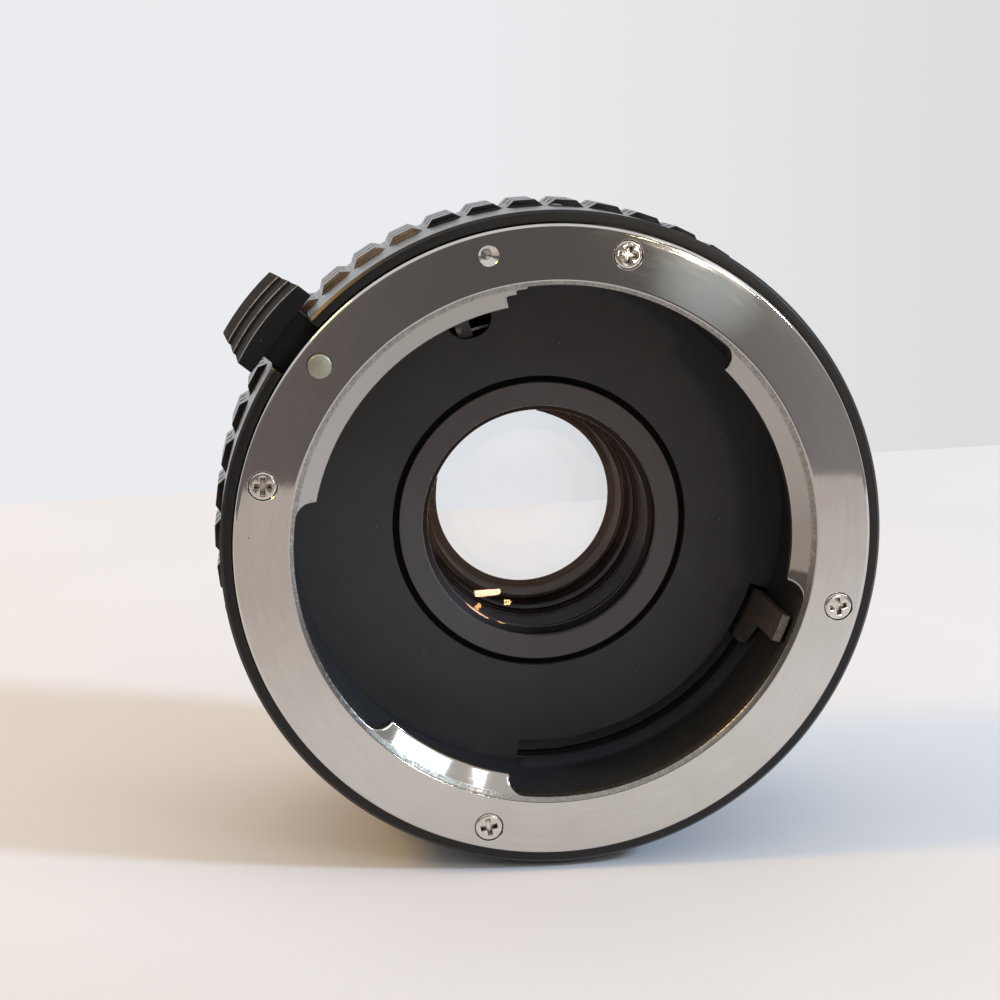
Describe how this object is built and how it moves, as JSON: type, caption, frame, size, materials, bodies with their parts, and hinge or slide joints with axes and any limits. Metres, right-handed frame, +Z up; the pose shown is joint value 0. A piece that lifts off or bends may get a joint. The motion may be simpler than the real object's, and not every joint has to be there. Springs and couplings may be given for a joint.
{
  "type": "camera teleconverter",
  "caption": "Round bayonet teleconverter with a chrome lens mount, knurled grip, sprung release slider, lens group, and aperture and diaphragm couplings that pass motion to the camera side.",
  "frame": {"origin": "centre of the lens-side flange face, on the optical axis", "axes": "+Y along the optical axis from the lens side towards the camera side, +Z up as the object lies on its grip, +X to the right seen from the lens side"},
  "size_m": [0.0636, 0.0385, 0.0636],
  "materials": {
    "mount_chrome": "turned and polished chrome plate on brass",
    "screw_steel": "bright nickel-plated steel",
    "spring_bronze": "bare phosphor bronze",
    "spring_steel": "bare spring steel",
    "barrel_black": "satin black anodised",
    "grip_black": "satin black anodised, worn on the edges",
    "baffle_matt": "matt black paint",
    "optics_black": "black anodised with fine turned grooves",
    "bezel_satin": "satin black anodised",
    "lens_glass": "polished and coated",
    "lever_steel": "blackened steel, bright where it rubs",
    "pin_nickel": "nickel-plated brass, dull",
    "dot_enamel": "enamel-filled dot"
  },
  "bodies": {
    "housing": {"lens_mount_ring": "mount_chrome", "lens_mount_screws": "screw_steel", "bayonet_leaf_springs": "spring_bronze", "front_barrel": "barrel_black", "index_dot": "dot_enamel", "grip_ring": "grip_black", "rear_barrel": "barrel_black", "barrel_screws": "screw_steel", "rear_mount_ring": "mount_chrome", "rear_mount_screws": "screw_steel", "front_baffle": "baffle_matt", "optical_barrel": "optics_black", "front_retaining_ring": "bezel_satin", "front_lens": "lens_glass", "front_spacer": "optics_black", "second_lens": "lens_glass", "middle_spacer": "optics_black", "third_lens": "lens_glass", "rear_spacer": "optics_black", "rear_lens": "lens_glass", "rear_retaining_ring": "optics_black", "rear_baffle": "baffle_matt", "barrel_lock_ring": "optics_black", "aperture_clip": "lever_steel", "aperture_spring": "spring_steel", "diaphragm_spring": "spring_steel", "release_spring": "spring_steel"},
    "release": {"release_slider": "barrel_black", "lock_pin": "pin_nickel"},
    "aperture": {"aperture_ring": "lever_steel"},
    "diaphragm": {"diaphragm_lever": "lever_steel"}
  },
  "joints": [
    {"name": "release_slide", "type": "slide", "parent": "housing", "child": "release", "axis": [0, 1, 0], "range_m": [0, 0.0022], "stiffness_N_per_m": 300, "springref_m": -0.003, "deforming": ["release_spring"]},
    {"name": "aperture_turn", "type": "hinge", "parent": "housing", "child": "aperture", "pos_m": [0, 0.0156, 0], "axis": [0, 1, 0], "range_deg": [0, 63], "stiffness_Nm_per_rad": 0.008, "springref_deg": -22.92, "deforming": ["aperture_spring"]},
    {"name": "diaphragm_turn", "type": "hinge", "parent": "housing", "child": "diaphragm", "pos_m": [0, 0.0136, 0], "axis": [0, 1, 0], "range_deg": [0, 5], "stiffness_Nm_per_rad": 0.01, "springref_deg": -22.92, "deforming": ["diaphragm_spring"]}
  ]
}
